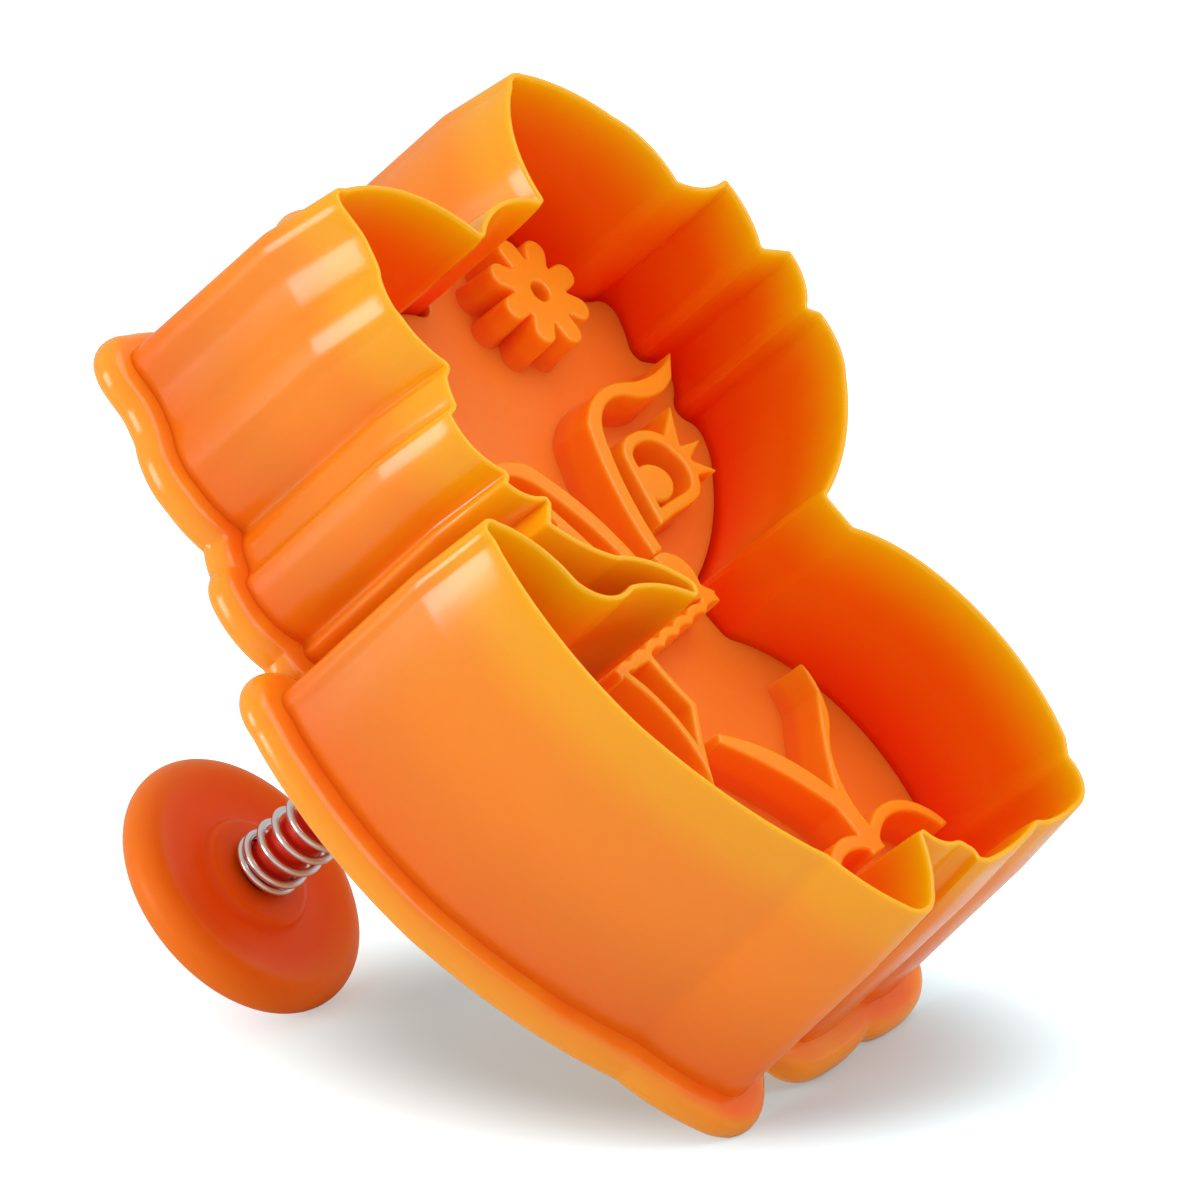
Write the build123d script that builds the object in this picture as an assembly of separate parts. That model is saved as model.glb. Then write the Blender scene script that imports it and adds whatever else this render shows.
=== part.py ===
import os
from math import cos, pi, sin

from build123d import *

# Cutting wall. Its outline is a sitting fox with a raised tail, and the rim stands on z = 0. The blade
# flares from the rim to a knee, and the wall is nearly upright from there to its foot
figure_half = 36.0
wall_height = 24.2
wall = 0.8
knee_height = 7.8
knee_grow_share = 1.028
foot_grow_share = 1.043
foot_pivot_share = (0, 0.48)
overrun = 1.0

# Flange and back plate round the foot of the wall
flange_overhang = 2.5
flange_thickness = 2.7
flange_edge_share = 0.46
flange_valley_radius = 1.8
back_plate = 2.0

# Guide collar for the stem, and the spring's cup on the back. The plunger stands off the flange's middle
plunger_offset = 0.75
stem_diameter = 4.0
guide_clearance = 0.08
collar_diameter = 9.0
collar_length = 3.0
cup_diameter = 10.0
cup_height = 1.3
cup_clearance = 0.35

# Stamp plate
stamp_depth = 15.2
stamp_thickness = 2.2
stamp_clearance = 0.6
stamp_corner_radius = 1.2
stamp_boss_diameter = 9.0
spigot_diameter = 3.0
spigot_length = 4.0
press_interference = 0.02

# Raised drawing on the stamp plate
relief_height = 4.1
petal_count = 8
petal_reach = 5.1
petal_width = 2.2
flower_disc_radius = 3.0
flower_hole_radius = 0.9
eye_line = 1.05
pupil_radius = 1.7
marking_line = 0.75
fluff_line = 0.9
fluff_wave = 0.35
fluff_waves = 7

# Spring
spring_outer_diameter = 5.9
wire_diameter = 0.65
spring_length = 30.3
end_bend_radius = 0.9
end_turns = 1.5
end_pitch = 1.1
middle_turns = 13
quarters_per_turn = 4
gap_samples = 12
gap_turns = 4

# Knob
knob_diameter = 23.0
knob_rim_radius = 1.9
knob_boss_diameter = 10.0
knob_boss_height = 2.5
knob_boss_edge_radius = 0.7
knob_dish_depth = 0.5
knob_crown_height = 3.4

# Outline of the rim, walked from between the ears round the tail side and back. Each row is the rest of
# one arc, (via, end), or the end of one straight run, in shares of figure_half from the plunger's axis
rim_shares = [
    [(0.26, 0.925), (0.425, 0.995)],
    [(0.475, 0.995), (0.485, 0.96)],
    [(0.495, 0.88), (0.52, 0.81)],
    [(0.56, 0.765), (0.565, 0.70)],
    [(0.56, 0.62), (0.535, 0.56)],
    [(0.565, 0.55)],
    [(0.588, 0.52), (0.605, 0.485)],
    [(0.64, 0.48)],
    [(0.655, 0.405), (0.61, 0.30)],
    [(0.637, 0.29)],
    [(0.615, 0.245), (0.55, 0.205)],
    [(0.605, 0.165)],
    [(0.55, 0.08), (0.48, 0.015)],
    [(0.40, -0.03), (0.32, -0.12)],
    [(0.33, -0.135)],
    [(0.41, -0.075), (0.50, -0.042)],
    [(0.60, -0.025), (0.645, 0.03)],
    [(0.67, 0.13), (0.74, 0.23)],
    [(0.78, 0.245), (0.80, 0.21)],
    [(0.835, -0.04), (0.805, -0.29)],
    [(0.71, -0.52), (0.55, -0.76)],
    [(0.50, -0.86), (0.44, -0.94)],
    [(0.38, -0.975), (0.315, -0.95)],
    [(0.255, -0.895), (0.215, -0.835)],
    [(0.18, -0.885), (0.13, -0.905)],
    [(0.11, -0.935)],
    [(0.118, -0.955)],
    [(0.085, -0.975)],
    [(-0.04, -0.985), (-0.15, -0.975)],
    [(-0.185, -0.99)],
    [(-0.26, -1.0), (-0.34, -0.995)],
    [(-0.388, -0.965), (-0.405, -0.90)],
    [(-0.44, -0.865)],
    [(-0.49, -0.62), (-0.435, -0.395)],
    [(-0.36, -0.28), (-0.295, -0.22)],
    [(-0.29, -0.135)],
    [(-0.485, -0.06), (-0.64, 0.053)],
    [(-0.695, 0.12), (-0.715, 0.20)],
    [(-0.685, 0.225)],
    [(-0.735, 0.265), (-0.765, 0.32)],
    [(-0.77, 0.35)],
    [(-0.69, 0.39)],
    [(-0.73, 0.46), (-0.745, 0.56)],
    [(-0.64, 0.58), (-0.59, 0.615)],
    [(-0.59, 0.73), (-0.55, 0.81)],
    [(-0.47, 0.92), (-0.37, 1.0)],
    [(-0.335, 1.01), (-0.305, 0.995)],
    [(-0.19, 0.90), (-0.125, 0.745)],
    [(0.0, 0.79), (0.13, 0.755)],
]

# Outlines of the raised drawing, in the same form and shares as the rim's
brow_shares = [
    [(-0.49, 0.322), (-0.40, 0.343)],
    [(-0.30, 0.357), (-0.19, 0.315)],
    [(-0.13, 0.20), (-0.08, -0.005)],
    [(-0.12, -0.005)],
    [(-0.165, 0.17), (-0.215, 0.27)],
    [(-0.30, 0.325), (-0.39, 0.305)],
    [(-0.49, 0.277), (-0.555, 0.29)],
    [(-0.614, 0.339)],
]
eye_shares = [
    [(-0.22, 0.12), (-0.245, 0.20)],
    [(-0.335, 0.235), (-0.405, 0.165)],
    [(-0.395, 0.07), (-0.33, 0.037)],
    [(-0.195, 0.03)],
]
lash_shares = [
    [[(-0.483, 0.242)], [(-0.415, 0.155)], [(-0.38, 0.19)]],
    [[(-0.495, 0.144)], [(-0.405, 0.115)], [(-0.405, 0.16)]],
    [[(-0.472, 0.067)], [(-0.385, 0.085)], [(-0.405, 0.13)]],
]
nose_shares = [
    [(-0.147, -0.033), (-0.15, -0.114)],
    [(-0.183, -0.147)],
    [(-0.10, -0.136)],
    [(-0.083, -0.078), (-0.072, -0.008)],
]
marking_shares = [
    [(0.158, -0.164)],
    [(0.153, -0.244), (0.139, -0.319)],
    [(0.20, -0.386), (0.281, -0.492)],
    [(0.25, -0.306), (0.303, -0.153)],
]
legs_shares = [
    [(0.033, -0.486), (-0.069, -0.644)],
    [(-0.153, -0.542), (-0.247, -0.45)],
    [(-0.269, -0.38)],
    [(-0.262, -0.445), (-0.208, -0.528)],
    [(-0.125, -0.61), (-0.094, -0.69)],
    [(-0.089, -0.81)],
    [(-0.033, -0.81)],
    [(-0.033, -0.68)],
    [(0.042, -0.556), (0.164, -0.414)],
    [(0.147, -0.394)],
]
right_paw_shares = [
    [(-0.203, -0.733), (-0.331, -0.85)],
    [(-0.308, -0.853)],
    [(-0.20, -0.764), (-0.072, -0.806)],
    [(-0.072, -0.764)],
]
left_paw_shares = [
    [(0.039, -0.736), (0.131, -0.786)],
    [(0.119, -0.806)],
    [(0.033, -0.772), (-0.05, -0.806)],
    [(-0.05, -0.764)],
]
flower_centre_share = (-0.36, 0.61)
pupil_centre_share = (-0.275, 0.115)
face_axis_share = -0.053
fluff_start_share = (-0.172, -0.144)
fluff_end_share = (0.30, -0.16)

# Sizes that follow from those above
base_top = wall_height + flange_thickness
plate_face = base_top - back_plate
collar_face = plate_face - collar_length
boss_seat = base_top + spring_length
knob_middle = boss_seat + knob_boss_height
knob_top = knob_middle + knob_crown_height
spring_radius = (spring_outer_diameter - wire_diameter) / 2
knob_rim_centre = knob_diameter / 2 - knob_rim_radius
knob_dish = knob_middle - knob_rim_radius + knob_dish_depth


# Closed face from rows of shares
def share_face(rows, size=figure_half):
    start = rows[-1][-1]
    edges = []
    for row in rows:
        points = [(x * size, y * size) for x, y in [start] + row]
        edges.append(ThreePointArc(*points) if len(row) == 2 else Line(*points))
        start = row[-1]
    return make_face(edges)


# A point given in shares, in the drawing's plane
def share_point(share):
    return (share[0] * figure_half, share[1] * figure_half)


# The wall's outline at its foot, grown away from a point in the head
def foot_face():
    grown = share_face(rim_shares, figure_half * foot_grow_share)
    shift = figure_half * (1 - foot_grow_share)
    return Pos(foot_pivot_share[0] * shift, foot_pivot_share[1] * shift, wall_height) * grown


# The flange's outline, with its valleys rounded so that its bead can run round them
def flange_face():
    return offset(offset(foot_face(), flange_overhang + flange_valley_radius), -flange_valley_radius)


# The figure is set with the middle of its flange over the origin, and the plunger stands beside it
middle = flange_face().bounding_box().center()
figure_place = Pos(-middle.X, -middle.Y, 0)
plunger_place = Pos(0, plunger_offset, 0)


# A round bar on the plunger's axis
def axis_bar(diameter, low, high):
    return plunger_place * Pos(0, 0, low) * extrude(Circle(diameter / 2), high - low)


# Wall, flange, back plate, collar and spring cup in one moulding
def cutter_body():
    rim = share_face(rim_shares)
    knee = Pos(0, 0, knee_height) * share_face(rim_shares, figure_half * knee_grow_share)
    shell = loft([rim, knee, foot_face()], ruled=True)
    flange = extrude(flange_face(), flange_thickness)
    faces = flange.faces().sort_by(Axis.Z)
    edges = faces[0].outer_wire().edges() + faces[-1].outer_wire().edges()
    flange = fillet(edges, flange_edge_share * flange_thickness)
    cavity = extrude(Pos(0, 0, -overrun) * offset(rim, -wall), plate_face + overrun)
    body = figure_place * (shell + flange - cavity)
    body += axis_bar(collar_diameter, collar_face, base_top)
    body += axis_bar(cup_diameter, plate_face, base_top + cup_height)
    body -= axis_bar(spring_outer_diameter + 2 * cup_clearance, base_top, base_top + cup_height + overrun)
    bore = stem_diameter + 2 * guide_clearance
    return body - axis_bar(bore, collar_face - overrun, base_top + overrun)


# Flower on the forehead
def flower():
    petal = Pos(petal_reach / 2, 0) * SlotOverall(petal_reach, petal_width)
    face = Circle(flower_disc_radius)
    for turn in range(petal_count):
        face += Rot(0, 0, 360 * turn / petal_count) * petal
    return Pos(*share_point(flower_centre_share)) * (face - Circle(flower_hole_radius))


# Brow, eye and lashes of one side
def half_face():
    eye = share_face(eye_shares)
    face = eye - offset(eye, -eye_line)
    face += Pos(*share_point(pupil_centre_share)) * Circle(pupil_radius)
    face += share_face(brow_shares)
    for lash in lash_shares:
        face += share_face(lash)
    return face


# Wavy line of fur under the chin
def fluff():
    start = Vector(*share_point(fluff_start_share))
    step = (Vector(*share_point(fluff_end_share)) - start) / fluff_waves
    drop = Vector(0, -fluff_line)
    upper, lower = [], []
    for turn in range(fluff_waves):
        low = start + step * turn
        crest = low + step / 2 + Vector(0, fluff_wave)
        upper.append(ThreePointArc(low, crest, low + step))
        lower.append(ThreePointArc(low + drop, crest + drop, low + step + drop))
    end = start + step * fluff_waves
    return make_face(upper + lower + [Line(start, start + drop), Line(end, end + drop)])


# Everything that stands up from the stamp's face
def relief():
    mirror_plane = Plane.YZ.offset(face_axis_share * figure_half)
    marking = share_face(marking_shares)
    half = half_face()
    face = flower() + half + mirror(half, mirror_plane)
    face += marking - offset(marking, -marking_line)
    for rows in [nose_shares, legs_shares, right_paw_shares, left_paw_shares]:
        face += share_face(rows)
    return face + fluff()


# Embossing plate, its raised drawing and the socket boss behind it
def stamp_plate():
    fit = wall + stamp_clearance + stamp_corner_radius
    outline = offset(offset(share_face(rim_shares), -fit), stamp_corner_radius)
    plate = extrude(Pos(0, 0, stamp_depth) * outline, stamp_thickness)
    drawing = extrude(Pos(0, 0, stamp_depth - relief_height) * relief(), relief_height + stamp_thickness / 2)
    stamp = figure_place * (plate + drawing)
    stamp += axis_bar(stamp_boss_diameter, stamp_depth + stamp_thickness / 2, collar_face)
    return stamp - axis_bar(spigot_diameter, collar_face - spigot_length, collar_face)


# Stem with a pressed spigot at each end
def plunger_stem():
    spigot = spigot_diameter + 2 * press_interference
    stem = axis_bar(stem_diameter, collar_face, boss_seat)
    return stem + axis_bar(spigot, collar_face - spigot_length, boss_seat + spigot_length)


# Two tangent arcs from one point and direction to another
def biarc(point_a, along_a, point_b, along_b):
    span = point_b - point_a
    lean = span.dot(along_a + along_b)
    bend = 2 * (1 - along_a.dot(along_b))
    reach = (-lean + (lean * lean + bend * span.dot(span)) ** 0.5) / bend
    corner_a = point_a + along_a * reach
    corner_b = point_b - along_b * reach
    joint = (corner_a + corner_b) / 2
    first = TangentArc(point_a, joint, tangent=along_a)
    second = TangentArc(joint, point_b, tangent=corner_b - corner_a)
    return [first, second]


# Path of the wire: straight ends square to their seats, bends, and turns on a helix
def spring_path():
    end_rise = wire_diameter + end_bend_radius
    low = base_top + end_rise
    high = boss_seat - end_rise
    middle_pitch = (high - low - 2 * end_turns * end_pitch) / middle_turns
    turns = 2 * end_turns + middle_turns
    count = round(turns * quarters_per_turn)
    pitches = []
    for step in range(count):
        turn = (step + 0.5) / quarters_per_turn
        at_end = turn < end_turns or turn > turns - end_turns
        pitches.append(end_pitch if at_end else middle_pitch)
    points, tangents, height = [], [], low
    for step in range(count + 1):
        angle = 2 * pi * step / quarters_per_turn
        near = pitches[max(step - 1, 0):step + 1]
        slope = sum(near) / len(near) / (2 * pi)
        points.append(Vector(spring_radius * cos(angle), spring_radius * sin(angle), height))
        tangents.append(Vector(-spring_radius * sin(angle), spring_radius * cos(angle), slope).normalized())
        height += pitches[step] / quarters_per_turn if step < count else 0
    up = Vector(0, 0, 1)
    flat_start = Vector(tangents[0].X, tangents[0].Y, 0).normalized()
    flat_end = Vector(tangents[-1].X, tangents[-1].Y, 0).normalized()
    foot = points[0] - flat_start * end_bend_radius - up * end_bend_radius
    head = points[-1] + flat_end * end_bend_radius + up * end_bend_radius
    edges = [Line(foot - up * wire_diameter, foot)]
    edges += biarc(foot, up, points[0], tangents[0])
    for step in range(count):
        edges += biarc(points[step], tangents[step], points[step + 1], tangents[step + 1])
    edges += biarc(points[-1], tangents[-1], head, up)
    edges.append(Line(head, head + up * wire_diameter))
    return edges


# Least gap between the wire's surface and itself, measured on points along its path
def least_gap(edges):
    points = [edge.position_at(i / gap_samples) for edge in edges for i in range(gap_samples)]
    skip = quarters_per_turn * gap_samples
    gaps = []
    for i in range(len(points)):
        for j in range(i + skip, min(i + gap_turns * skip, len(points))):
            gaps.append((points[i] - points[j]).length)
    return min(gaps) - wire_diameter


# Return spring
def return_spring():
    edges = spring_path()
    print("least gap between the spring's turns:", round(least_gap(edges), 3), "mm")
    start = Plane(edges[0] @ 0, z_dir=edges[0] % 0)
    return plunger_place * sweep(start * Circle(wire_diameter / 2), path=Wire(edges))


# Mushroom knob with a dished underside and a boss round the spring's end
def knob():
    boss = knob_boss_diameter / 2
    edge = knob_boss_edge_radius
    profile = [
        Line((0, boss_seat), (boss - edge, boss_seat)),
        RadiusArc((boss - edge, boss_seat), (boss, boss_seat + edge), -edge),
        Line((boss, boss_seat + edge), (boss, knob_dish)),
        TangentArc((boss, knob_dish), (knob_rim_centre, knob_middle - knob_rim_radius), tangent=(1, 0)),
        ThreePointArc(
            (knob_rim_centre, knob_middle - knob_rim_radius),
            (knob_rim_centre + knob_rim_radius, knob_middle),
            (knob_rim_centre, knob_middle + knob_rim_radius),
        ),
        TangentArc((0, knob_top), (knob_rim_centre, knob_middle + knob_rim_radius), tangent=(1, 0)),
        Line((0, knob_top), (0, boss_seat)),
    ]
    body = plunger_place * revolve(Plane.XZ * make_face(profile), Axis.Z)
    return body - axis_bar(spigot_diameter, boss_seat, boss_seat + spigot_length)


parts = {
    "cutter_body": cutter_body,
    "stamp_plate": stamp_plate,
    "plunger_stem": plunger_stem,
    "return_spring": return_spring,
    "knob": knob,
}

if __name__ == "__main__":
    os.makedirs("parts", exist_ok=True)
    for name, make in parts.items():
        export_step(make(), f"parts/{name}.step")
        print(name, "written")
    print("figure moved by", round(-middle.X, 3), round(-middle.Y, 3), "mm")
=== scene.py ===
import bmesh
import bpy
import numpy as np
from math import cos, pi, radians, sin
from mathutils import Matrix, Vector
from mathutils.geometry import delaunay_2d_cdt


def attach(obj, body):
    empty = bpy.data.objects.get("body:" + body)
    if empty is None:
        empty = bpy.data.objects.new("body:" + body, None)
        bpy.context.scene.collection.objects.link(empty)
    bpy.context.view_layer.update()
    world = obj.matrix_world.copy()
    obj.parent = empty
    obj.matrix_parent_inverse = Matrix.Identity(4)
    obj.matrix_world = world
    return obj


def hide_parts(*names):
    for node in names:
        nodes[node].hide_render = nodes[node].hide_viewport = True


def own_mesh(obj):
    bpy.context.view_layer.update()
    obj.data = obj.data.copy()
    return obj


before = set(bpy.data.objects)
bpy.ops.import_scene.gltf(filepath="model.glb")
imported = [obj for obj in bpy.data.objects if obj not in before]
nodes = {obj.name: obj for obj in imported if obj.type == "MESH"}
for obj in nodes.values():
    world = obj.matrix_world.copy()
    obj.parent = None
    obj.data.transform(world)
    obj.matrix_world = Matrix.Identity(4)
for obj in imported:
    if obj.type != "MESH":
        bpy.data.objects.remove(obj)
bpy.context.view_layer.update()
mm = 0.001
stemAxis = (0, 0.75 * mm)

# camera first: a long lens, one metre off, looking into the cutter past its tail
camera = {"place": (0.82472, -0.03105, -0.56475), "turn": (-137.918, 39.241, -127.185), "lens": 389.1}
bpy.ops.object.camera_add(location=camera["place"], rotation=[radians(a) for a in camera["turn"]])
bpy.context.object.name = "camera"
bpy.context.object.data.lens = camera["lens"]
bpy.context.object.data.clip_end = 10
bpy.context.scene.camera = bpy.context.object
bpy.context.scene.view_settings.view_transform = "Standard"

# the cutter lies on its flange with the knob behind, so in its own frame the floor is tilted
# shown is a cooler tint that only the camera sees, cancelling the orange light bounced onto the floor; the shade values
# place the oval of painted shadow
floor = {"up": (-0.0299, 0.7626, -0.6462), "drop": 0.04723, "size": 1.6, "paper": (0.74, 0.74, 0.74),
         "shown": (0.48, 0.65, 0.71), "shadeMiddle": (-0.005, -0.009), "shadeReach": (0.041, 0.027),
         "shadeTurn": 30, "shadeEdge": (0.5, 1.15), "glow": 0.18, "farGlow": 0.85}
up = Vector(floor["up"]).normalized()
toCamera = Vector(camera["place"])
toCamera = (toCamera - up * toCamera.dot(up)).normalized()
right = up.cross(toCamera)


def stagePoint(side, near, high):
    return right * side + toCamera * near + up * (high - floor["drop"])


def pickOnly(*things):
    bpy.ops.object.select_all(action="DESELECT")
    for thing in things:
        thing.select_set(True)
    bpy.context.view_layer.objects.active = things[0]


def addNode(tree, kind, place=(0, 0), **settings):
    made = tree.nodes.new("ShaderNode" + kind)
    made.location = place
    for key, value in settings.items():
        setattr(made, key, value)
    return made


def setInputs(made, **values):
    for key, value in values.items():
        made.inputs[key.replace("_", " ")].default_value = value
    return made


# floor: plain pale sheet that glows white to the camera, except in an oval under the cutter where the glow is lowered:
# a painted shadow patch over the rendered shadow
bpy.ops.mesh.primitive_plane_add(size=floor["size"], location=stagePoint(0, 0, 0),
                                 rotation=Matrix((right, toCamera * -1, up)).transposed().to_euler())
ground = bpy.context.object
ground.name = "floor"
floorPaint = bpy.data.materials.new("floorPaint")
floorPaint.use_nodes = True
tree = floorPaint.node_tree
tree.nodes.clear()
out = addNode(tree, "OutputMaterial", (800, 0))
matt = addNode(tree, "BsdfDiffuse", (0, 0))
sheet = addNode(tree, "Mix", (-200, 100), data_type="RGBA")
sheet.inputs["A"].default_value = (*floor["paper"], 1)
sheet.inputs["B"].default_value = (*floor["shown"], 1)
glow = addNode(tree, "Emission", (0, -150))
lightPath = addNode(tree, "LightPath", (-400, -150))
share = addNode(tree, "Math", (-200, -150), operation="MULTIPLY")
place = addNode(tree, "TexCoord", (-1100, -300))
# the oval where the glow drops to its low level is painted shadow
oval = addNode(tree, "Mapping", (-900, -300), vector_type="TEXTURE")
oval.inputs["Location"].default_value = (floor["shadeMiddle"][0], -floor["shadeMiddle"][1], 0)
oval.inputs["Rotation"].default_value = (0, 0, -radians(floor["shadeTurn"]))
oval.inputs["Scale"].default_value = (*floor["shadeReach"], 1)
away = addNode(tree, "VectorMath", (-700, -300), operation="LENGTH")
lift = addNode(tree, "MapRange", (-450, -300), interpolation_type="SMOOTHSTEP")
setInputs(lift, From_Min=floor["shadeEdge"][0], From_Max=floor["shadeEdge"][1], To_Min=floor["glow"],
          To_Max=floor["farGlow"])
tree.links.new(lightPath.outputs["Is Camera Ray"], sheet.inputs["Factor"])
tree.links.new(sheet.outputs["Result"], matt.inputs["Color"])
tree.links.new(place.outputs["Object"], oval.inputs["Vector"])
tree.links.new(oval.outputs[0], away.inputs[0])
tree.links.new(away.outputs["Value"], lift.inputs["Value"])
tree.links.new(lift.outputs[0], share.inputs[1])
both = addNode(tree, "AddShader", (200, 0))
clear = addNode(tree, "BsdfTransparent", (200, -150))
side = addNode(tree, "NewGeometry", (200, 200))
pick = addNode(tree, "MixShader", (500, 0))
tree.links.new(lightPath.outputs["Is Camera Ray"], share.inputs[0])
tree.links.new(share.outputs[0], glow.inputs["Strength"])
tree.links.new(matt.outputs[0], both.inputs[0])
tree.links.new(glow.outputs[0], both.inputs[1])
tree.links.new(side.outputs["Backfacing"], pick.inputs[0])
tree.links.new(both.outputs[0], pick.inputs[1])
tree.links.new(clear.outputs[0], pick.inputs[2])
tree.links.new(pick.outputs[0], out.inputs["Surface"])
ground.data.materials.append(floorPaint)

# studio: white behind, an even fill at six tenths, a window-like softbox on the left and a wide one overhead
studio = {"fill": 0.6, "aim": (0, 0, 0.05),
          "windowPlace": (-0.658, 0.279, 0.175), "windowSize": (0.30, 0.25), "windowPower": 1.9,
          "topPlace": (0.38, 0.16, 0.65), "topSize": (0.8, 0.8), "topPower": 3.9}
world = bpy.data.worlds.new("studio")
bpy.context.scene.world = world
world.use_nodes = True
tree = world.node_tree
tree.nodes.clear()
out = addNode(tree, "OutputWorld", (600, 0))
sky = addNode(tree, "Background", (400, 0))
lightPath = addNode(tree, "LightPath", (-200, 0))
seen = addNode(tree, "Math", (0, 0), operation="MAXIMUM")
level = addNode(tree, "MapRange", (200, 0))
level.inputs["To Min"].default_value = studio["fill"]
tree.links.new(lightPath.outputs["Is Camera Ray"], seen.inputs[0])
tree.links.new(lightPath.outputs["Is Transmission Ray"], seen.inputs[1])
tree.links.new(seen.outputs[0], level.inputs["Value"])
tree.links.new(level.outputs[0], sky.inputs["Strength"])
tree.links.new(sky.outputs[0], out.inputs["Surface"])
sky.inputs["Color"].default_value = (1, 1, 1, 1)


def addLamp(name, place, aim, size, power):
    bpy.ops.object.light_add(type="AREA", location=place)
    lamp = bpy.context.object
    lamp.name = name
    lamp.data.shape = "RECTANGLE"
    lamp.data.size, lamp.data.size_y = size
    lamp.data.energy = power
    lamp.rotation_euler = (Vector(aim) - Vector(place)).to_track_quat("-Z", "Y").to_euler()


addLamp("leftWindow", stagePoint(*studio["windowPlace"]), stagePoint(*studio["aim"]), studio["windowSize"],
        studio["windowPower"])
addLamp("overhead", stagePoint(*studio["topPlace"]), stagePoint(*studio["aim"]), studio["topSize"],
        studio["topPower"])
print("stage, camera and lights set")


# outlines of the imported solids, and what is built on them: distances in metres, angles in degrees
outline = {"merge": 1e-6, "shortest": 3e-6, "straight": 0.4, "corner": 20, "perChord": 24, "fewest": 12,
           "foldShare": 0.998, "level": 0.005 * mm, "same": 1e-6}


def area(loop):
    ahead = np.roll(loop, -1, 0)
    return (loop[:, 0] * ahead[:, 1] - loop[:, 1] * ahead[:, 0]).sum() / 2


def outlinesAt(node, height):
    pickOnly(nodes[node])  # a copy of the solid, cut across, keeps only its outlines at that height
    bpy.ops.object.duplicate()
    bpy.ops.object.mode_set(mode="EDIT")
    bpy.ops.mesh.select_all(action="SELECT")
    bpy.ops.mesh.remove_doubles(threshold=outline["merge"])
    bpy.ops.mesh.bisect(plane_co=(0, 0, height), plane_no=(0, 0, 1), clear_inner=True, clear_outer=True)
    bpy.ops.object.mode_set(mode="OBJECT")
    bpy.ops.object.convert(target="CURVE")
    cut = bpy.context.object
    loops = [np.array([point.co[:2] for point in spline.points], float) for spline in cut.data.splines]
    bpy.ops.object.delete()
    loops = [loop if area(loop) > 0 else loop[::-1] for loop in loops]
    return sorted(loops, key=area, reverse=True)


def evenLoop(points, spacing):
    # arcs come as short chords: they are curved again, true corners stay, and the points end up evenly spaced
    points = points[np.hypot(*(np.roll(points, -1, 0) - points).T) > outline["shortest"]]
    step = np.roll(points, -1, 0) - points
    bearing = np.degrees(np.arctan2(step[:, 1], step[:, 0]))
    turn = (bearing - np.roll(bearing, 1) + 180) % 360 - 180
    bent = np.abs(turn) > outline["straight"]
    points, turn = points[bent], turn[bent]
    step = np.roll(points, -1, 0) - points
    run = np.hypot(*step.T)[:, None]
    slope = step / run
    slopeIn, runIn = np.roll(slope, 1, 0), np.roll(run, 1, 0)
    smooth = (slopeIn * run + slope * runIn) / (run + runIn)
    sharp = np.abs(turn)[:, None] > outline["corner"]
    leave = (np.where(sharp, slope, smooth) * run)[:, None]
    arrive = (np.roll(np.where(sharp, slopeIn, smooth), -1, 0) * run)[:, None]
    t = np.linspace(0, 1, outline["perChord"], endpoint=False)[None, :, None]
    start, end = points[:, None], np.roll(points, -1, 0)[:, None]
    fine = ((2 * t**3 - 3 * t**2 + 1) * start + (t**3 - 2 * t**2 + t) * leave
            + (3 * t**2 - 2 * t**3) * end + (t**3 - t**2) * arrive).reshape(-1, 2)
    fine = np.vstack([fine, fine[:1]])
    along = np.append(0, np.cumsum(np.hypot(*np.diff(fine, axis=0).T)))
    count = max(outline["fewest"], round(along[-1] / spacing))
    at = np.arange(count) * along[-1] / count
    return np.column_stack([np.interp(at, along, fine[:, axis]) for axis in (0, 1)])


def softened(loop, reach):
    # corners are eased over a short reach along the outline
    spacing = np.hypot(*(np.roll(loop, -1, 0) - loop).T).mean()
    wave = np.fft.fftfreq(len(loop), spacing)
    eased = np.fft.ifft(np.fft.fft(loop[:, 0] + 1j * loop[:, 1]) * np.exp(-2 * (pi * wave * reach) ** 2))
    return np.column_stack([eased.real, eased.imag])


def offsetLoop(loop, distance):
    # points move square to the outline, and where they land in a fold the gap is closed straight across
    ahead = np.roll(loop, -1, 0) - np.roll(loop, 1, 0)
    distance = np.broadcast_to(distance, len(loop))
    moved = loop + np.column_stack([ahead[:, 1], -ahead[:, 0]]) * (distance / np.hypot(*ahead.T))[:, None]
    gap = np.hypot(moved[:, None, 0] - loop[None, :, 0], moved[:, None, 1] - loop[None, :, 1]).min(axis=1)
    clear = np.flatnonzero(gap >= np.abs(distance) * outline["foldShare"])
    index = np.arange(len(loop))
    return np.column_stack([np.interp(index, clear, moved[clear, axis], period=len(loop)) for axis in (0, 1)])


def smoothStep(share):
    share = np.clip(share, 0, 1)
    return share * share * (3 - 2 * share)


def fittedTo(loop, box):
    low, high = loop.min(axis=0), loop.max(axis=0)
    return box[0] + (loop - low) / (high - low) * (box[1] - box[0])


def blended(first, second, share):
    return first * (1 - share) + second * share


def atHeight(loop, height):
    return np.column_stack([loop, np.full(len(loop), height)])


def circleRing(radius, height, count, centre):
    turn = np.arange(count) / count * 2 * pi
    return np.column_stack([centre[0] + radius * np.cos(turn), centre[1] + radius * np.sin(turn),
                            np.full(count, height)])


def ringStack(name, rings):
    # one circle of edges, extruded once for each ring and set to the ring's outline
    bpy.ops.object.select_all(action="DESELECT")
    bpy.ops.mesh.primitive_circle_add(vertices=len(rings[0]), radius=10 * mm)
    piece = bpy.context.object
    piece.name = name
    bpy.ops.object.mode_set(mode="EDIT")
    bpy.ops.mesh.select_all(action="SELECT")
    for ring in rings[1:]:
        bpy.ops.mesh.extrude_edges_move(TRANSFORM_OT_translate={"value": (0, 0, mm)})
    bpy.ops.object.mode_set(mode="OBJECT")
    piece.data.vertices.foreach_set("co", np.concatenate(rings).ravel())
    piece.data.update()
    return piece


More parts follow.
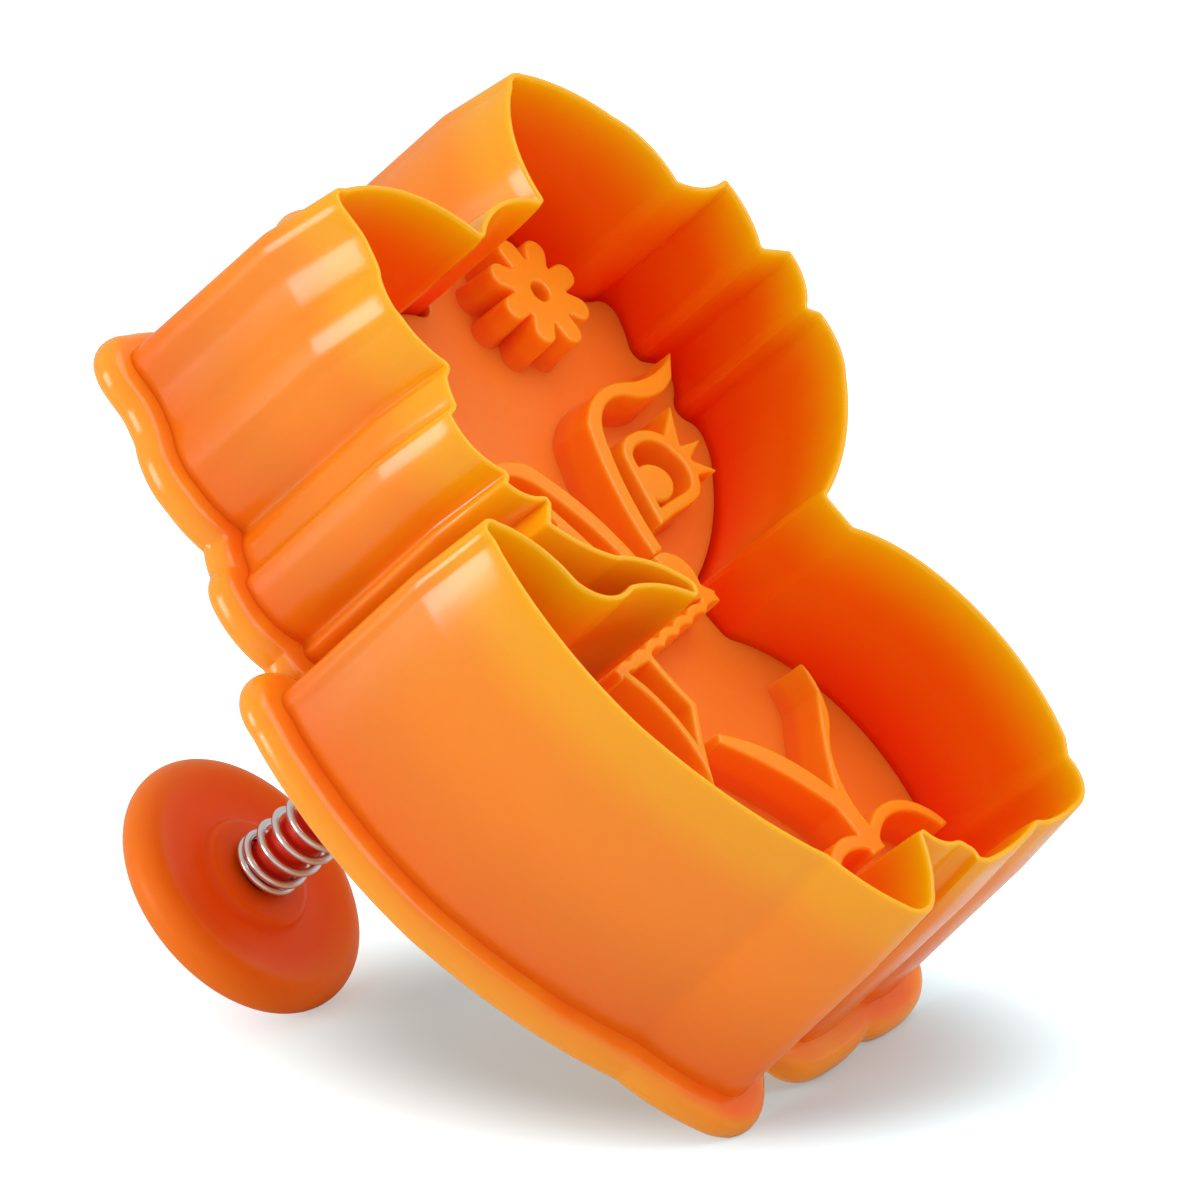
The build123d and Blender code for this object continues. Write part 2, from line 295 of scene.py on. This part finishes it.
def closeAt(piece, height):
    # the open edges that lie at one height are filled across, holes and all
    made = bmesh.new()
    made.from_mesh(piece.data)
    rim = [edge for edge in made.edges
           if edge.is_boundary and all(abs(end.co.z - height) < outline["level"] for end in edge.verts)]
    ends = list(dict.fromkeys(end for edge in rim for end in edge.verts))
    number = {end: at for at, end in enumerate(ends)}
    pairs = [tuple(number[end] for end in edge.verts) for edge in rim]
    spots, edges, triangles, fromSpot, fromEdge, _ = delaunay_2d_cdt(
        [end.co.xy / mm for end in ends], pairs, [], 0, outline["same"])
    limits = {frozenset(edge) for edge, origin in zip(edges, fromEdge) if origin}
    sides = [[frozenset((triangle[side - 1], triangle[side])) for side in range(3)] for triangle in triangles]
    beside = {}
    for at, around in enumerate(sides):
        for edge in around:
            beside.setdefault(edge, []).append(at)
    # from the outer edges inwards, each limit crossed turns outside into inside or back
    inside = {}
    waiting = [(near[0], edge in limits) for edge, near in beside.items() if len(near) == 1]
    while waiting:
        at, within = waiting.pop()
        if at not in inside:
            inside[at] = within
            waiting += [(other, within != (edge in limits)) for edge in sides[at] for other in beside[edge]]
    corners = [ends[origin[0]] if origin else made.verts.new((*(spot * mm), height))
               for spot, origin in zip(spots, fromSpot)]
    for at, triangle in enumerate(triangles):
        if inside[at]:
            made.faces.new([corners[spot] for spot in triangle])
    made.to_mesh(piece.data)
    made.free()


def joined(name, *parts):
    pickOnly(*parts)
    bpy.ops.object.join()
    bpy.context.object.name = name
    bpy.context.object.data.name = name
    return bpy.context.object


def united(piece, other):
    pickOnly(piece)
    union = piece.modifiers.new("union", "BOOLEAN")
    union.operation, union.solver, union.object = "UNION", "MANIFOLD", other
    try:
        bpy.ops.object.modifier_apply(modifier="union")
    except RuntimeError:
        # a solid that the union refuses stands in the other as it is
        print("not united", other.name)
        piece.modifiers.remove(piece.modifiers["union"])
        return joined(piece.name, piece, other)
    pickOnly(other)
    bpy.ops.object.delete()
    return piece


def finished(piece, angle=35):
    pickOnly(piece)
    bpy.ops.object.mode_set(mode="EDIT")
    bpy.ops.mesh.select_all(action="SELECT")
    bpy.ops.mesh.normals_make_consistent(inside=False)
    bpy.ops.object.mode_set(mode="OBJECT")
    bpy.ops.object.transform_apply(location=True, rotation=True, scale=True)
    bpy.ops.object.shade_smooth_by_angle(angle=radians(angle))
    return piece


# plastic groups: colour down the depth, which paints light and shade (lighter where light comes through thin edges,
# redder where shade gathers deeper in), faint flow marks and mottling, fine moulded grain

def groupSocket(group, name, kind="Float", default=None, output=False):
    made = group.interface.new_socket(name=name, in_out="OUTPUT" if output else "INPUT",
                                      socket_type="NodeSocket" + kind)
    if default is not None:
        made.default_value = default
    return made


def buildDepthColour():
    group = bpy.data.node_groups.new("depthColour", "ShaderNodeTree")
    groupSocket(group, "Near Colour", "Color", (1, 0.3, 0.02, 1))
    groupSocket(group, "Middle Colour", "Color", (0.9, 0.2, 0.02, 1))
    groupSocket(group, "Far Colour", "Color", (0.8, 0.1, 0.01, 1))
    groupSocket(group, "Depth", "Float", 0.0)
    groupSocket(group, "Near", "Float", 0.0)
    groupSocket(group, "Middle", "Float", 0.01)
    groupSocket(group, "Far", "Float", 0.02)
    groupSocket(group, "Mottle", "Float", 0.04)
    groupSocket(group, "Colour", "Color", output=True)
    inside = group.nodes.new("NodeGroupInput")
    inside.location = (-1000, 0)
    outside = group.nodes.new("NodeGroupOutput")
    outside.location = (1000, 0)
    place = addNode(group, "TexCoord", (-1000, 400))
    flow = setInputs(addNode(group, "TexNoise", (-800, 200)), Scale=90.0, Detail=3.0, Roughness=0.55)
    sway = addNode(group, "Math", (-600, 300), operation="MULTIPLY_ADD")
    sway.inputs[1].default_value = 0.0016  # the bands wander a little in height
    group.links.new(place.outputs["Object"], flow.inputs["Vector"])
    group.links.new(flow.outputs["Fac"], sway.inputs[0])
    group.links.new(inside.outputs["Depth"], sway.inputs[2])
    colour = None
    for row, (low, high, first, second) in enumerate((("Near", "Middle", "Near Colour", "Middle Colour"),
                                                      ("Middle", "Far", None, "Far Colour"))):
        band = addNode(group, "MapRange", (-400, 300 - 250 * row), interpolation_type="SMOOTHSTEP")
        group.links.new(sway.outputs[0], band.inputs["Value"])
        group.links.new(inside.outputs[low], band.inputs["From Min"])
        group.links.new(inside.outputs[high], band.inputs["From Max"])
        mix = addNode(group, "Mix", (-100, 200 - 250 * row), data_type="RGBA")
        group.links.new(band.outputs[0], mix.inputs["Factor"])
        group.links.new(inside.outputs[first] if first else colour, mix.inputs["A"])
        group.links.new(inside.outputs[second], mix.inputs["B"])
        colour = mix.outputs["Result"]
    cloud = setInputs(addNode(group, "TexNoise", (100, 300)), Scale=260.0, Detail=4.0, Roughness=0.6)
    group.links.new(place.outputs["Object"], cloud.inputs["Vector"])
    spread = addNode(group, "Math", (300, 300), operation="SUBTRACT")
    spread.inputs[1].default_value = 0.5
    amount = addNode(group, "Math", (450, 300), operation="MULTIPLY_ADD")
    amount.inputs[2].default_value = 1.0
    tint = addNode(group, "VectorMath", (700, 100), operation="SCALE")
    group.links.new(cloud.outputs["Fac"], spread.inputs[0])
    group.links.new(spread.outputs[0], amount.inputs[0])
    group.links.new(inside.outputs["Mottle"], amount.inputs[1])
    group.links.new(colour, tint.inputs[0])
    group.links.new(amount.outputs[0], tint.inputs["Scale"])
    group.links.new(tint.outputs[0], outside.inputs["Colour"])
    return group


def buildMouldSkin():
    group = bpy.data.node_groups.new("mouldSkin", "ShaderNodeTree")
    groupSocket(group, "Gloss", "Float", 0.3)
    groupSocket(group, "Gloss Change", "Float", 0.1)
    groupSocket(group, "Grain", "Float", 0.3)
    groupSocket(group, "Roughness", output=True)
    groupSocket(group, "Height", output=True)
    inside = group.nodes.new("NodeGroupInput")
    inside.location = (-800, 0)
    outside = group.nodes.new("NodeGroupOutput")
    outside.location = (800, 0)
    place = addNode(group, "TexCoord", (-1000, 300))
    smear = setInputs(addNode(group, "TexNoise", (-600, 300)), Scale=140.0, Detail=5.0, Roughness=0.6)
    grain = setInputs(addNode(group, "TexNoise", (-600, 0)), Scale=2600.0, Detail=2.0)
    ripple = setInputs(addNode(group, "TexNoise", (-600, -250)), Scale=120.0, Detail=1.0)
    scratch = setInputs(addNode(group, "TexNoise", (-600, -500)), Scale=500.0, Detail=4.0, Roughness=0.7)
    for texture in (smear, grain, ripple, scratch):
        group.links.new(place.outputs["Object"], texture.inputs["Vector"])
    span = addNode(group, "MapRange", (-300, 300), interpolation_type="SMOOTHSTEP")
    span.inputs["From Min"].default_value = 0.2
    span.inputs["From Max"].default_value = 0.8
    group.links.new(smear.outputs["Fac"], span.inputs["Value"])
    group.links.new(inside.outputs["Gloss"], span.inputs["To Min"])
    top = addNode(group, "Math", (-450, 150), operation="ADD")
    group.links.new(inside.outputs["Gloss"], top.inputs[0])
    group.links.new(inside.outputs["Gloss Change"], top.inputs[1])
    group.links.new(top.outputs[0], span.inputs["To Max"])
    group.links.new(span.outputs[0], outside.inputs["Roughness"])
    fine = addNode(group, "Math", (-300, 0), operation="MULTIPLY")
    group.links.new(grain.outputs["Fac"], fine.inputs[0])
    group.links.new(inside.outputs["Grain"], fine.inputs[1])
    wide = addNode(group, "Math", (0, 0), operation="MULTIPLY_ADD")
    wide.inputs[1].default_value = 2.0
    group.links.new(ripple.outputs["Fac"], wide.inputs[0])
    group.links.new(fine.outputs[0], wide.inputs[2])
    worn = addNode(group, "Math", (250, 0), operation="MULTIPLY_ADD")
    worn.inputs[1].default_value = 0.25
    group.links.new(scratch.outputs["Fac"], worn.inputs[0])
    group.links.new(wide.outputs[0], worn.inputs[2])
    group.links.new(worn.outputs[0], outside.inputs["Height"])
    return group


depthColour, mouldSkin = buildDepthColour(), buildMouldSkin()


def plastic(name, near, middle, far, depths, axis=None, gloss=0.16, bend=1.46, sheen=(1, 1, 1), deep=3, soft=0.6):
    # the depth is the height along the part, or with an axis the distance from it; deep is how far light goes in, in mm
    paint = bpy.data.materials.new(name)
    paint.use_nodes = True
    tree = paint.node_tree
    surface = tree.nodes["Principled BSDF"]
    colour = addNode(tree, "Group", (-500, 200), node_tree=depthColour)
    for socket, value in zip(("Near Colour", "Middle Colour", "Far Colour"), (near, middle, far)):
        colour.inputs[socket].default_value = (*value, 1)
    for socket, value in zip(("Near", "Middle", "Far"), depths):
        colour.inputs[socket].default_value = value
    place = addNode(tree, "TexCoord", (-1300, 300))
    if axis:
        flat = addNode(tree, "VectorMath", (-1100, 300), operation="MULTIPLY_ADD")
        flat.inputs[1].default_value = (1, 1, 0)
        flat.inputs[2].default_value = (-axis[0], -axis[1], 0)
        away = addNode(tree, "VectorMath", (-900, 300), operation="LENGTH")
        tree.links.new(place.outputs["Object"], flat.inputs[0])
        tree.links.new(flat.outputs[0], away.inputs[0])
        tree.links.new(away.outputs["Value"], colour.inputs["Depth"])
    else:
        split = addNode(tree, "SeparateXYZ", (-900, 300))
        tree.links.new(place.outputs["Object"], split.inputs[0])
        tree.links.new(split.outputs["Z"], colour.inputs["Depth"])
    colour.inputs["Mottle"].default_value = 0.04
    skin = addNode(tree, "Group", (-500, -100), node_tree=mouldSkin)
    setInputs(skin, Gloss=gloss, Gloss_Change=0.08, Grain=0.3)
    bump = setInputs(addNode(tree, "Bump", (-250, -250)), Strength=0.35, Distance=0.00006)
    tree.links.new(colour.outputs["Colour"], surface.inputs["Base Color"])
    tree.links.new(skin.outputs["Roughness"], surface.inputs["Roughness"])
    tree.links.new(skin.outputs["Height"], bump.inputs["Height"])
    tree.links.new(bump.outputs["Normal"], surface.inputs["Normal"])
    surface.inputs["IOR"].default_value = bend
    surface.inputs["Subsurface Weight"].default_value = soft
    surface.inputs["Subsurface Radius"].default_value = (1.0, 0.5, 0.08)
    surface.inputs["Subsurface Scale"].default_value = deep * mm
    surface.inputs["Specular Tint"].default_value = (*sheen, 1)
    return paint


# outer wall: painted light, golden near the rim where light shines through the thin edge, and painted shade, redder
# towards the foot where wall and flange light each other
wallPaint = plastic("wallPaint", (0.97, 0.39, 0.004), (0.95, 0.275, 0.007), (0.93, 0.18, 0.004),
                    (3 * mm, 9 * mm, 26 * mm))
# inner walls: painted light, golden at the rim where light comes through the thin edge, and painted shade, deep red
# further into the cavity
insidePaint = plastic("insidePaint", (0.985, 0.42, 0.002), (0.985, 0.18, 0.0015), (0.99, 0.045, 0.001),
                      (0.2 * mm, 8 * mm, 17 * mm), deep=5, soft=0.8)
# flange: painted shade, red in the crease against the wall, and more golden further out and on the back where light
# falls
flangePaint = plastic("flangePaint", (0.95, 0.12, 0.006), (0.98, 0.32, 0.014), (0.98, 0.36, 0.02),
                      (24.4 * mm, 25.5 * mm, 26.5 * mm))
# stamp: the plate face and the feet of the ridges a little redder than the ridge tops, painted shade between the ridges
stampPaint = plastic("stampPaint", (0.97, 0.27, 0.006), (0.98, 0.27, 0.006), (0.94, 0.2, 0.014),
                     (11 * mm, 14 * mm, 15.2 * mm), gloss=0.34, deep=5, soft=0.8)
# knob: the rim is painted more golden than the middle, a painted highlight on the rounded edge
knobPaint = plastic("knobPaint", (0.99, 0.11, 0.003), (0.99, 0.13, 0.004), (0.99, 0.2, 0.012),
                    (4 * mm, 8.2 * mm, 11.2 * mm), axis=stemAxis, gloss=0.36, bend=1.33, sheen=(1, 0.7, 0.5),
                    deep=7)
# the stem is painted a darker red than the knob: painted shade from the spring coils round it
stemShadeRed = (0.70, 0.02, 0.002)
stemPaint = plastic("stemPaint", stemShadeRed, stemShadeRed, stemShadeRed, (17 * mm, 40 * mm, 60 * mm), gloss=0.3)
print("plastics mixed")

# cutter body: one run of rings from the inner floor, over the rim, down the wall and round the flange
body = {"spacing": 0.22 * mm, "rimSoft": 0.13 * mm, "kneeSoft": 0.3 * mm, "footSoft": 0.45 * mm,
        "kneeHeight": 7.8 * mm, "footHeight": 24.2 * mm, "floorHeight": 24.9 * mm, "backHeight": 26.9 * mm,
        "wall": 0.8 * mm, "lip": 0.5 * mm, "lipRound": 0.2 * mm, "lipGap": 0.02 * mm, "overhang": 2.5 * mm,
        "lowHeight": 20 * mm, "cutIn": 0.02 * mm, "cutBelow": 0.05 * mm, "round": 96,
        # places on the wall, in mm: x, y, push outwards and reach, then x, y, width and softness
        "swells": ((16.8, 32.7, -0.13, 0.8),), "eased": ((16.3, 36.0, 0.9, 0.7), (19.2, 28.2, 1.6, 1.3)),
        # inset from the wall's inner face, and distance from the floor towards the rim
        "floorRings": ((0.6, 0), (0.45, 0), (0.2, 0.08), (0.06, 0.24), (0, 0.5)),
        # height, and share of the wall's thickness
        "innerRings": ((20, 1), (15, 1), (10, 1), (6, 1), (3.5, 0.96), (1.8, 0.85), (0.8, 0.74), (0.35, 0.66)),
        "lipTurns": (15, 45, 75, 105, 135, 165),
        "outerRings": (0.25, 2, 4, 6, 7.2, 7.65, 7.95, 8.4, 10, 13, 16, 19, 21.5, 23.2, 24.2),
        # share of the overhang, and height
        "flangeRings": ((0.05, 24.2), (0.3, 24.2), (0.5, 24.24), (0.66, 24.38), (0.8, 24.66), (0.9, 25.02),
                        (0.96, 25.4), (0.99, 25.8), (0.98, 26.15), (0.94, 26.45), (0.88, 26.67), (0.8, 26.82),
                        (0.68, 26.89), (0.5, 26.9)),
        # radius, and height
        "cupRings": ((5.6, 26.9), (5.25, 26.9), (5.06, 27.0), (5, 27.2), (5, 27.95), (4.93, 28.13), (4.75, 28.2),
                     (3.55, 28.2), (3.37, 28.13), (3.3, 27.95), (3.3, 26.98), (3.2, 26.9), (2.35, 26.9),
                     (2.14, 26.96), (2.08, 26.7), (2.08, 22.1), (2.2, 21.9), (4.3, 21.9), (4.45, 21.96),
                     (4.5, 22.1), (4.5, 24.6), (4.58, 24.8), (4.8, 24.9), (5.1, 24.9)),
        # the flange is narrower round the ears and head on the tail's side
        "narrower": 0.2, "narrowFrom": 10 * mm, "narrowOver": 8 * mm}
rimBase = evenLoop(outlinesAt("cutter_body", body["cutIn"])[0], body["spacing"])


def swollen(loop, swells):
    # shallow waves along a thin wall: where, how far out and how long
    ahead = np.roll(loop, -1, 0) - np.roll(loop, 1, 0)
    square = np.column_stack([ahead[:, 1], -ahead[:, 0]]) / np.hypot(*ahead.T)[:, None]
    for x, y, push, reach in swells:
        gap = np.hypot(loop[:, 0] - x * mm, loop[:, 1] - y * mm)
        loop = loop + square * (push * mm * np.exp(-(gap / (reach * mm)) ** 2 / 2))[:, None]
    return loop


for x, y, width, softness in body["eased"]:
    nearby = np.exp(-((rimBase - (x * mm, y * mm)) ** 2).sum(axis=1) / (width * mm) ** 2 / 2)[:, None]
    rimBase = blended(rimBase, softened(rimBase, softness * mm), nearby)
rimBase = swollen(rimBase, body["swells"])
kneeCut = outlinesAt("cutter_body", body["kneeHeight"] - body["cutBelow"])[0]
lowCut = outlinesAt("cutter_body", body["lowHeight"])[0]
kneeBox = np.array([kneeCut.min(axis=0), kneeCut.max(axis=0)])
lowBox = np.array([lowCut.min(axis=0), lowCut.max(axis=0)])
footBox = blended(kneeBox, lowBox,
                  (body["footHeight"] - body["kneeHeight"]) / (body["lowHeight"] - body["kneeHeight"]))
rimLine = softened(rimBase, body["rimSoft"])
kneeLine = softened(fittedTo(rimBase, kneeBox), body["kneeSoft"])
footLine = softened(fittedTo(rimBase, footBox), body["footSoft"])


def wallRing(height):
    if height < body["kneeHeight"]:
        return atHeight(blended(rimLine, kneeLine, height / body["kneeHeight"]), height)
    share = (height - body["kneeHeight"]) / (body["footHeight"] - body["kneeHeight"])
    return atHeight(blended(kneeLine, footLine, share), height)


wall, lip = body["wall"], body["lip"]
innerRings = [atHeight(offsetLoop(rimLine, -wall - inset * mm), body["floorHeight"] - rise * mm)
              for inset, rise in body["floorRings"]]
for height, thickness in body["innerRings"]:
    innerRings.append(atHeight(offsetLoop(rimLine, -wall * thickness), height * mm))
edgeRings = []
for turn in body["lipTurns"]:
    inset = lip / 2 + (lip / 2 - body["lipGap"]) * cos(radians(turn))
    edgeRings.append(atHeight(offsetLoop(rimLine, -inset), body["lipRound"] * (1 - sin(radians(turn)))))
outerRings = [wallRing(height * mm) for height in body["outerRings"]]
narrowed = smoothStep((footLine[:, 1] - body["narrowFrom"]) / body["narrowOver"])
narrowed = body["narrower"] * narrowed * smoothStep(footLine[:, 0] / body["narrowOver"])
reach = body["overhang"] * (1 - narrowed)
flangeRings = [atHeight(offsetLoop(footLine, reach * out), height * mm) for out, height in body["flangeRings"]]
shell = ringStack("shell", innerRings + edgeRings + outerRings + flangeRings)
cup = ringStack("cup", [circleRing(radius * mm, height * mm, body["round"], stemAxis)
                        for radius, height in body["cupRings"]])
cutter = joined("cutterBody", shell, cup)
closeAt(cutter, body["backHeight"])
closeAt(cutter, body["floorHeight"])
finished(cutter)
for paint in (wallPaint, insidePaint, flangePaint):
    cutter.data.materials.append(paint)
# by the ring that a face starts from: inside the wall, outside it, or on the flange, back and collar
innerCount = len(innerRings) * len(rimLine)
outerCount = (len(innerRings) + len(edgeRings) + len(outerRings) - 1) * len(rimLine)
for face in cutter.data.polygons:
    low = min(face.vertices)
    if low < innerCount:
        face.material_index = 1
    elif low >= outerCount:
        face.material_index = 2
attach(cutter, "cutter")
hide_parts("cutter_body")
print("cutter body shaped", len(cutter.data.polygons))

# stamp plate: a soft-edged plate, with the drawing raised on it as rounded ridges
stamp = {"face": 15.2 * mm, "back": 17.4 * mm, "top": 11.1 * mm, "root": 15.9 * mm, "spigotEnd": 17.9 * mm,
         "cut": 16.5 * mm, "drawingCut": 13.05 * mm, "spacing": 0.3 * mm, "fine": 0.15 * mm, "soft": 0.2 * mm,
         "fineSoft": 0.1 * mm, "closer": 0.22 * mm, "bossRound": 72, "smallest": 0.5 * mm * mm,
         # inset or radius or reach outwards, and height
         "plateRings": ((0.7, 15.2), (0.3, 15.2), (0.12, 15.21), (0.03, 15.26), (0, 15.4), (0, 17.0),
                        (0.06, 17.2), (0.2, 17.35), (0.4, 17.4), (0.7, 17.4)),
         "bossRings": ((5.4, 17.4), (4.95, 17.4), (4.6, 17.5), (4.5, 17.75), (4.5, 21.6), (4.43, 21.82),
                       (4.25, 21.9), (1.7, 21.9), (1.5, 21.7), (1.5, 17.9)),
         "ridgeRings": ((-0.3, 11.1), (-0.25, 11.1), (-0.13, 11.14), (-0.04, 11.24), (0, 11.4), (0.05, 12.6),
                        (0.12, 14.3), (0.16, 14.8), (0.2, 15.05), (0.28, 15.3), (0.28, 15.9))}
plateLine = softened(evenLoop(outlinesAt("stamp_plate", stamp["cut"])[0], stamp["spacing"]), stamp["soft"])
plateLine = offsetLoop(plateLine, stamp["closer"])
plate = ringStack("plate", [atHeight(offsetLoop(plateLine, -inset * mm), height * mm)
                            for inset, height in stamp["plateRings"]])
boss = ringStack("boss", [circleRing(radius * mm, height * mm, stamp["bossRound"], stemAxis)
                          for radius, height in stamp["bossRings"]])
plate = joined("stampPlate", plate, boss)
for height in (stamp["face"], stamp["back"], stamp["spigotEnd"]):
    closeAt(plate, height)
finished(plate)
ridges = []
drawing = outlinesAt("stamp_plate", stamp["drawingCut"])


def insideOf(loop, point):
    x, y = point
    ahead = np.roll(loop, -1, 0)
    cross = (loop[:, 1] > y) != (ahead[:, 1] > y)
    span = np.where(cross, ahead[:, 1] - loop[:, 1], 1)
    return (cross & (x < loop[:, 0] + (y - loop[:, 1]) / span * (ahead[:, 0] - loop[:, 0]))).sum() % 2 == 1


def isHole(loop):
    # a loop inside an odd number of others is the inner edge of a ridge
    return sum(insideOf(other, loop[0]) for other in drawing if other is not loop) % 2 == 1


# the straight side of each eye stands nearer to the middle of the face than in the solid: where the eyes are,
# how near to that a loop counts as one, where the move starts, over what width it grows, and how far it goes
eye = {"faceAxis": -3.15 * mm, "out": 10.4 * mm, "high": 5.2 * mm, "outNear": 2.5 * mm, "highNear": 1.5 * mm,
       "start": 11.4 * mm, "over": 4 * mm, "inwards": 0.8 * mm, "upwards": 0.35 * mm}


def widenedEye(line):
    middle = line.mean(axis=0)
    fromAxis = line[:, 0] - eye["faceAxis"]
    if abs(middle[1] - eye["high"]) > eye["highNear"]:
        return line
    if abs(abs(middle[0] - eye["faceAxis"]) - eye["out"]) > eye["outNear"]:
        return line
    share = smoothStep((eye["start"] - np.abs(fromAxis)) / eye["over"])
    return line + np.column_stack([-np.sign(fromAxis) * share * eye["inwards"], share * eye["upwards"]])


ridgeLines = [loop for loop in drawing if abs(area(loop)) > stamp["smallest"]]
for loop in ridgeLines:
    if isHole(loop):
        continue
    parts = []
    for member in ridgeLines:
        if member is not loop and not (isHole(member) and insideOf(loop, member[0])):
            continue
        side = 1 if member is loop else -1
        line = widenedEye(softened(evenLoop(member, stamp["fine"]), stamp["fineSoft"]))
        parts.append(ringStack("ridge", [atHeight(offsetLoop(line, side * out * mm), height * mm)
                                         for out, height in stamp["ridgeRings"]]))
    ridge = joined("ridge", *parts)
    closeAt(ridge, stamp["top"])
    closeAt(ridge, stamp["root"])
    finished(ridge)
    ridges.append(ridge)
stampPiece = plate
for ridge in ridges:
    stampPiece = united(stampPiece, ridge)
finished(stampPiece, 40)
# the unions leave an empty slot behind
stampPiece.data.materials.clear()
stampPiece.data.materials.append(stampPaint)
for face in stampPiece.data.polygons:
    face.material_index = 0
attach(stampPiece, "plunger")
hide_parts("stamp_plate")
print("stamp plate shaped", len(stampPiece.data.polygons))

# knob: a shallow mushroom with a low boss round the spring
knob = {"rings": ((2.02, 60.8), (2.02, 57.4), (2.2, 57.2), (4.35, 57.2), (4.75, 57.3), (4.95, 57.55), (5.05, 57.9),
                  (5.2, 58.15), (5.6, 58.3), (7, 58.22), (8.4, 58.05), (9.3, 57.86)),
        "rimMiddle": (9.6, 59.7), "rimRound": 1.9, "top": 63.1, "socketEnd": 60.8 * mm, "steps": 144,
        "rimTurns": range(-90, 61, 10), "crownShares": (0.97, 0.9, 0.8, 0.65, 0.5, 0.35, 0.2, 0.08, 0.02)}
knobRings = list(knob["rings"])
for turn in knob["rimTurns"]:
    knobRings.append((knob["rimMiddle"][0] + knob["rimRound"] * cos(radians(turn)),
                      knob["rimMiddle"][1] + knob["rimRound"] * sin(radians(turn))))
crownRadius, crownStart = knobRings[-1]
for share in knob["crownShares"]:
    knobRings.append((crownRadius * share, knob["top"] - (knob["top"] - crownStart) * share ** 2))
knobPiece = ringStack("knobCap", [circleRing(radius * mm, height * mm, knob["steps"], stemAxis)
                                  for radius, height in knobRings])
closeAt(knobPiece, knob["socketEnd"])
closeAt(knobPiece, knobRings[-1][1] * mm)
finished(knobPiece, 40)
knobPiece.data.materials.append(knobPaint)
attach(knobPiece, "plunger")
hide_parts("knob")
nodes["plunger_stem"].data.materials.clear()
nodes["plunger_stem"].data.materials.append(stemPaint)
print("knob turned")

# spring: closed coils at both ends, open ones between
spring = {"low": 26.9 * mm, "high": 57.2 * mm, "wire": 0.35 * mm, "coil": 2.6 * mm, "closed": 1.6,
          "closedPitch": 0.74 * mm, "open": 14.5, "perTurn": 44, "sides": 4, "easeOver": 9, "merge": 0.001 * mm,
          "kept": 0.488}
turns = 2 * spring["closed"] + spring["open"]
rise = spring["high"] - spring["low"] - 2 * spring["wire"]
steps = np.linspace(0, turns, int(turns * spring["perTurn"]))
closedRise = spring["closed"] * spring["closedPitch"]
climb = np.interp(steps, [0, spring["closed"], turns - spring["closed"], turns],
                  [0, closedRise, rise - closedRise, rise])
# the pitch changes over a few steps, and the ends keep their height
over = spring["easeOver"]
padded = np.concatenate([2 * climb[0] - climb[over:0:-1], climb, 2 * climb[-1] - climb[-2:-2 - over:-1]])
climb = np.convolve(padded, np.ones(2 * over + 1) / (2 * over + 1), "valid")
line = bpy.data.curves.new("spring", "CURVE")
line.dimensions = "3D"
run = line.splines.new("POLY")
run.points.add(len(steps) - 1)
for point, at, z in zip(run.points, steps, climb):
    point.co = (stemAxis[0] + spring["coil"] * cos(2 * pi * at), stemAxis[1] + spring["coil"] * sin(2 * pi * at),
                spring["low"] + spring["wire"] + z, 1)
line.bevel_depth = spring["wire"]
line.bevel_resolution = spring["sides"]
line.use_fill_caps = True
coil = bpy.data.objects.new("spring", line)
bpy.context.collection.objects.link(coil)
pickOnly(coil)
bpy.ops.object.convert(target="MESH")
coil = bpy.context.object
bpy.ops.object.mode_set(mode="EDIT")
bpy.ops.mesh.select_all(action="SELECT")
bpy.ops.mesh.remove_doubles(threshold=spring["merge"])
bpy.ops.object.mode_set(mode="OBJECT")
finished(coil, 40)
wirePaint = bpy.data.materials.new("wirePaint")
wirePaint.use_nodes = True
tree = wirePaint.node_tree
surface = tree.nodes["Principled BSDF"]
surface.inputs["Base Color"].default_value = (0.78, 0.78, 0.8, 1)
surface.inputs["Metallic"].default_value = 1
place = addNode(tree, "TexCoord", (-900, 0))
drawn = setInputs(addNode(tree, "TexNoise", (-700, 0)), Scale=1800.0, Detail=3.0)
level = addNode(tree, "MapRange", (-450, 0))
level.inputs["To Min"].default_value, level.inputs["To Max"].default_value = 0.12, 0.32
tree.links.new(place.outputs["Object"], drawn.inputs["Vector"])
tree.links.new(drawn.outputs["Fac"], level.inputs["Value"])
tree.links.new(level.outputs[0], surface.inputs["Roughness"])
coil.data.materials.append(wirePaint)
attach(coil, "cutter")
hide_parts("return_spring")
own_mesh(coil)
print("spring wound")
